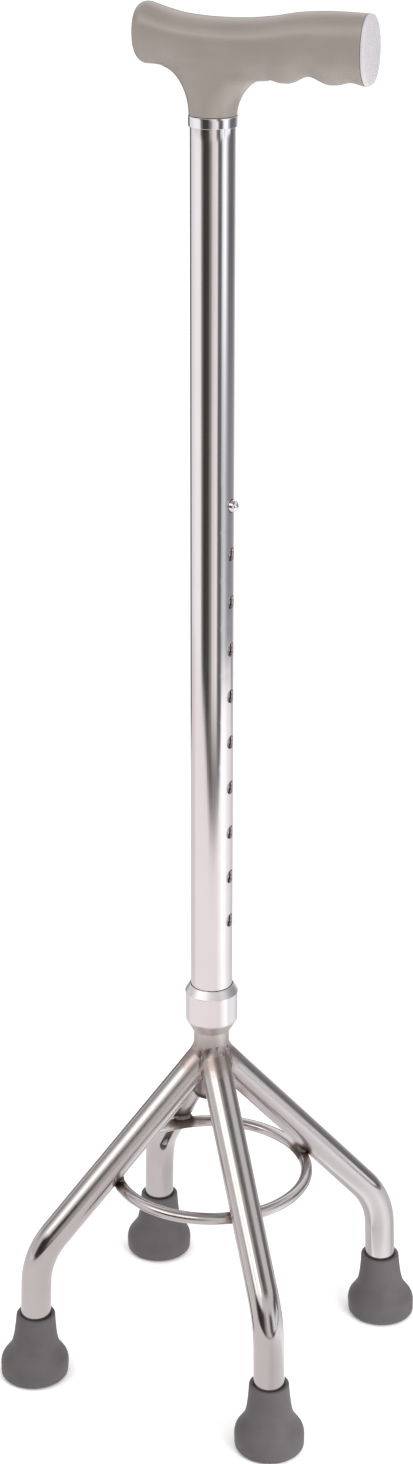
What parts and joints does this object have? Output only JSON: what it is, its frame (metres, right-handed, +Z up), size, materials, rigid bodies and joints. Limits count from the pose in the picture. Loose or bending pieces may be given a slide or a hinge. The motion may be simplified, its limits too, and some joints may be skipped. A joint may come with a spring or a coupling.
{
  "type": "quad cane",
  "caption": "Walking cane with a moulded T-shaped grip, a height-adjustable pole with a snap button and locking collar, and a small base of splayed legs tied by a hoop.",
  "frame": {"origin": "on the floor, on the pole's axis, which is the middle of the four feet", "axes": "+Z up along the pole. The feet stand in a square with its sides along X and Y. The grip's long end, the row of pin holes and the snap button are on the +X side, called front, and +Y is called left."},
  "size_m": [0.1822, 0.1822, 0.7372],
  "materials": {
    "polished_steel": "polished stainless steel",
    "satin_steel": "satin stainless steel",
    "chrome": "bright chrome",
    "weld": "weld metal with brown heat tint",
    "spring_steel": "plain spring steel",
    "taupe_plastic": "smooth moulded plastic, half gloss",
    "pale_plastic": "smooth moulded plastic, half gloss",
    "white_nylon": "plain moulded nylon",
    "grey_rubber": "matt moulded rubber"
  },
  "bodies": {
    "base": {"stem_tube": "satin_steel", "stem_top_glide": "white_nylon", "snap_spring": "spring_steel", "base_ring": "polished_steel", "leg_front_left": "polished_steel", "leg_back_left": "polished_steel", "leg_back_right": "polished_steel", "leg_front_right": "polished_steel", "hub_weld_front_left": "weld", "hub_weld_back_left": "weld", "hub_weld_back_right": "weld", "hub_weld_front_right": "weld", "ring_weld_front_left": "weld", "ring_weld_back_left": "weld", "ring_weld_back_right": "weld", "ring_weld_front_right": "weld", "foot_front_left": "grey_rubber", "foot_back_left": "grey_rubber", "foot_back_right": "grey_rubber", "foot_front_right": "grey_rubber", "washer_front_left": "satin_steel", "washer_back_left": "satin_steel", "washer_back_right": "satin_steel", "washer_front_right": "satin_steel"},
    "pole": {"pole_tube": "polished_steel", "handle_grip": "taupe_plastic", "handle_end_cap": "pale_plastic", "handle_ferrule": "chrome", "handle_core": "white_nylon"},
    "collet": {"collet": "white_nylon"},
    "collar": {"lock_collar": "polished_steel"},
    "button": {"snap_button": "chrome"}
  },
  "joints": [
    {"name": "height_slide", "type": "slide", "parent": "base", "child": "pole", "axis": [0, 0, 1], "range_m": [0, 0.2286], "deforming": ["snap_button"]},
    {"name": "collet_slide", "type": "slide", "parent": "pole", "child": "collet", "axis": [0, 0, -1], "range_m": [0, 0.003]},
    {"name": "collar_turn", "type": "hinge", "parent": "collet", "child": "collar", "pos_m": [0, 0, 0.212], "axis": [0, 0, -1], "range_deg": [0, 720]},
    {"name": "button_press", "type": "slide", "parent": "base", "child": "button", "axis": [-1, 0, 0], "range_m": [0, 0.005], "stiffness_N_per_m": 2500, "springref_m": -0.002, "deforming": ["snap_spring"]}
  ],
  "couplings": [
    {"joint": "collar_turn", "follows": "collet_slide", "rad_per_m": 4188.8}
  ]
}
